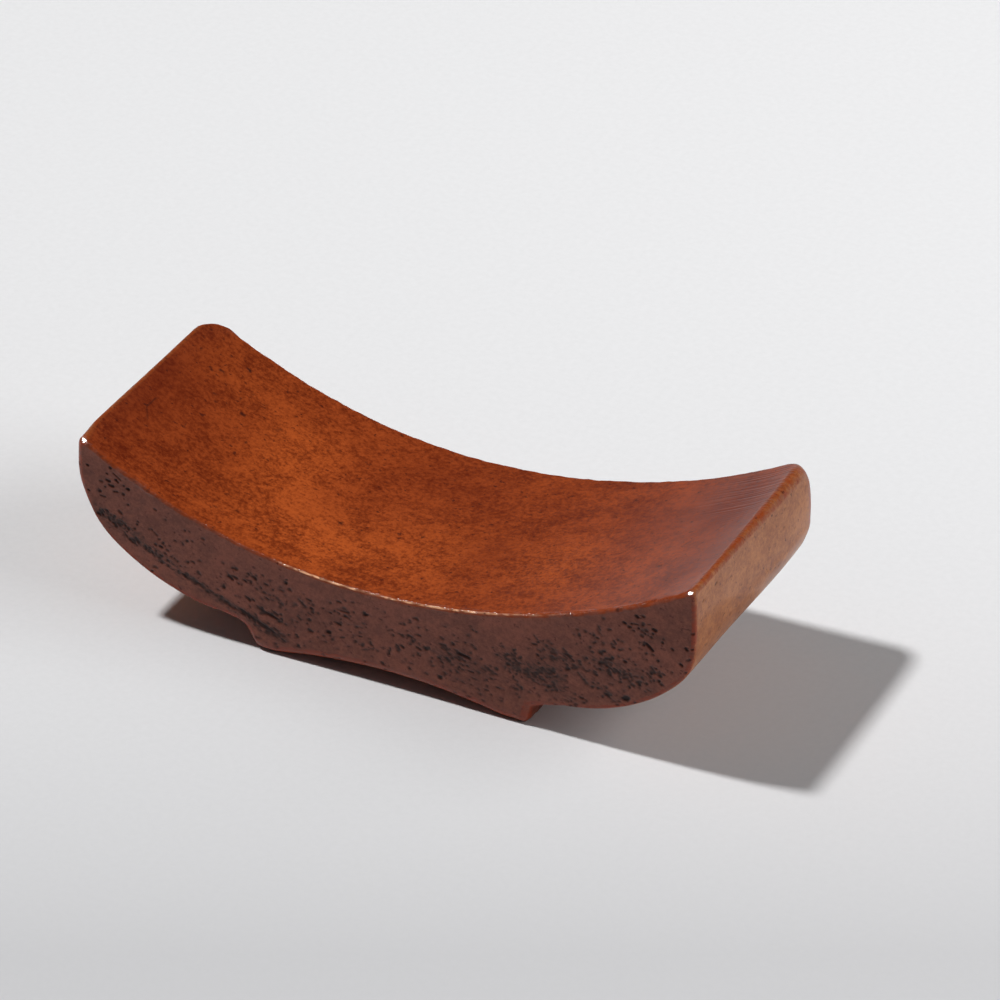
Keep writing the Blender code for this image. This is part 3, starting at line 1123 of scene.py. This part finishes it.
def fine_pores(m, porous):
    """How far each place is one of the pores that are too small for the mesh."""
    level = m.maths("ADD", m.noise("fine_pores"), m.times(porous, FINE_PORE_CROWDING))
    fine = m.times(m.spread(level, *FINE_PORES), m.spread(porous, *FINE_PORE_AREA))
    return m.times(fine, m.spread(m.attribute("top_edge"), *FINE_PORE_EDGE))


def lacquered_wood():
    material, m, shader = new_material("lacquered_wood_surface")
    noises = {name: m.noise(name) for name in TONE_WEIGHTS}
    specks = noises["specks"]
    scrapes = m.times(m.maths("SUBTRACT", m.noise("scrapes"), 0.5), m.attribute("scraped"))
    parts = [(noises[name], weight) for name, weight in TONE_WEIGHTS.items()]
    tone = m.spread(m.weighted(*parts, (scrapes, SCRAPES_IN_TONE)), *TONE_RANGE)

    porous = m.attribute("porous")
    fine = fine_pores(m, porous)
    colour = m.mix(fine, stained_colour(m, tone), PORE_FINE)
    halo = m.times(m.spread(porous, *HALO_AREA), m.spread(m.noise("halo"), *HALO_PATCHES))
    colour = m.mix(halo, colour, HALO)
    colour = m.mix(m.spread(m.noise("flecks"), *FLECKS), colour, FLECK)
    colour = m.mix(m.attribute("pore"), colour, PORE_DARK)
    m.feed(shader.inputs["Base Color"], colour)

    m.feed(shader.inputs["Roughness"], m.spread(specks, *ROUGHNESS, smooth=False))
    shader.inputs["Specular IOR Level"].default_value = BASE_SPECULAR
    shader.inputs["Coat Weight"].default_value = COAT_WEIGHT
    shader.inputs["Coat Roughness"].default_value = COAT_ROUGHNESS

    relief = m.weighted((m.noise("peel"), PEEL_BUMP), (specks, SPECK_BUMP), (scrapes, SCRAPE_BUMP))
    relief = m.maths("SUBTRACT", relief, m.times(fine, FINE_PORE_BUMP))
    beads = m.times(m.noise("beads"), m.times(m.attribute("top_edge"), BEAD_BUMP))
    relief = m.maths("ADD", relief, beads)
    bump = m.node("ShaderNodeBump")
    bump.inputs["Strength"].default_value = 1.0
    bump.inputs["Distance"].default_value = BUMP_DISTANCE
    m.feed(bump.inputs["Height"], relief)
    m.feed(shader.inputs["Normal"], bump.outputs["Normal"])
    m.feed(shader.inputs["Coat Normal"], bump.outputs["Normal"])
    return material


# Camera
CAMERA_PLACE = Vector((0.209211, -0.407139, 0.303628))
CAMERA_TARGET = Vector((0.006565, 0.0, 0.016274))
CAMERA_LENS = 189.36
CAMERA_SENSOR = 36.0
CAMERA_CLIP = 0.01


def add_camera():
    data = bpy.data.cameras.new("camera")
    data.lens = CAMERA_LENS
    data.sensor_width = CAMERA_SENSOR
    data.clip_start = CAMERA_CLIP
    camera = add_object("camera", data)
    camera.location = CAMERA_PLACE
    camera.rotation_euler = (CAMERA_TARGET - CAMERA_PLACE).to_track_quat("-Z", "Y").to_euler()
    bpy.context.scene.camera = camera


# Light
KEY_FROM = Vector((-0.600, -0.095, 1.0))
KEY_SPREAD_DEG = 5.4
KEY_STRENGTH = 2.55
FILL_FROM = Vector((0.85, 0.25, 0.55))
FILL_SIZE = (0.9, 0.7)
FILL_WATTS = 5.7


def add_lights():
    data = bpy.data.lights.new("key", "SUN")
    data.energy = KEY_STRENGTH
    data.angle = math.radians(KEY_SPREAD_DEG)
    key = add_object("key", data)
    key.rotation_euler = KEY_FROM.to_track_quat("Z", "Y").to_euler()

    data = bpy.data.lights.new("fill", "AREA")
    data.shape = "RECTANGLE"
    data.size, data.size_y = FILL_SIZE
    data.energy = FILL_WATTS
    fill = add_object("fill", data)
    fill.location = FILL_FROM
    fill.rotation_euler = FILL_FROM.to_track_quat("Z", "Y").to_euler()


# The room is dim all round, apart from a pale sweep low down behind the rest
WORLD_DIM = (0.05, 0.05, 0.051)
WORLD_SWEEP = (0.5, 0.5, 0.51)
SWEEP_BEHIND = (-0.5, 0.6)
SWEEP_LOW = (0.0, 0.38, 1.0, 0.0)


def add_world():
    world = bpy.data.worlds.new("studio")
    bpy.context.scene.world = world
    world.use_nodes = True
    m = Nodes(world.node_tree)
    split = m.node("ShaderNodeSeparateXYZ")
    m.feed(split.inputs[0], m.direction)
    behind = m.spread(split.outputs["Y"], *SWEEP_BEHIND)
    low = m.spread(split.outputs["Z"], *SWEEP_LOW)
    colour = m.mix(m.times(low, behind), WORLD_DIM, WORLD_SWEEP)
    m.feed(world.node_tree.nodes["Background"].inputs["Color"], colour)


# Painted shade: the paper's colour darkens towards the camera, against FLOOR_AWAY, for the light that falls
# off there
FLOOR_SIZE = 4.0
FLOOR_PAINTED_SHADE_NEAR = (0.622, 0.622, 0.63444)
FLOOR_UNSHADED_FAR = (0.893, 0.893, 0.90193)
FLOOR_AWAY = (-0.446, 0.895, 0.0)
FLOOR_SHADE_START = 0.058
FLOOR_SHADE_LENGTH = 0.055
FLOOR_GRAIN = (0.5, 0.5, 0.5)
FLOOR_GRAIN_SHARE = (0.3, 0.7, 0.0, 0.09)
FLOOR_ROUGHNESS = 0.8
FLOOR_SPECULAR = 0.2


def add_floor():
    mesh = bpy.data.meshes.new("floor")
    corners = [(-1, -1), (1, -1), (1, 1), (-1, 1)]
    mesh.from_pydata([(x * FLOOR_SIZE, y * FLOOR_SIZE, 0.0) for x, y in corners], [], [(0, 1, 2, 3)])
    floor = add_object("floor", mesh)
    material, m, shader = new_material("paper")
    along = m.node("ShaderNodeVectorMath", operation="DOT_PRODUCT")
    m.feed(along.inputs[0], m.place)
    along.inputs[1].default_value = FLOOR_AWAY
    past = m.maths("ADD", along.outputs["Value"], FLOOR_SHADE_START)
    near = m.maths("EXPONENT", m.times(past, -1.0 / FLOOR_SHADE_LENGTH))
    # Painted shade: the paper darkens towards the camera
    shade = m.mix(near, FLOOR_UNSHADED_FAR, FLOOR_PAINTED_SHADE_NEAR)
    shade = m.mix(m.spread(m.noise("paper"), *FLOOR_GRAIN_SHARE, smooth=False), shade, FLOOR_GRAIN)
    m.feed(shader.inputs["Base Color"], shade)
    shader.inputs["Roughness"].default_value = FLOOR_ROUGHNESS
    shader.inputs["Specular IOR Level"].default_value = FLOOR_SPECULAR
    mesh.materials.append(material)


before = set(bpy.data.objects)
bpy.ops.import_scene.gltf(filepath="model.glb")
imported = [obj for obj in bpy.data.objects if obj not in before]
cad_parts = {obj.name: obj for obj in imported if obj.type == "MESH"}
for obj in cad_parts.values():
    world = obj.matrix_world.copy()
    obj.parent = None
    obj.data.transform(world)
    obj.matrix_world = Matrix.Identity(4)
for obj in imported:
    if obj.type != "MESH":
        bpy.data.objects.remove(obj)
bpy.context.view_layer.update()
bpy.context.scene.view_settings.view_transform = "Standard"
add_camera()
add_lights()
add_world()
add_floor()
block = make_block()
block.data.materials.append(lacquered_wood())
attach(block, "root")
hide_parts("rest_block")
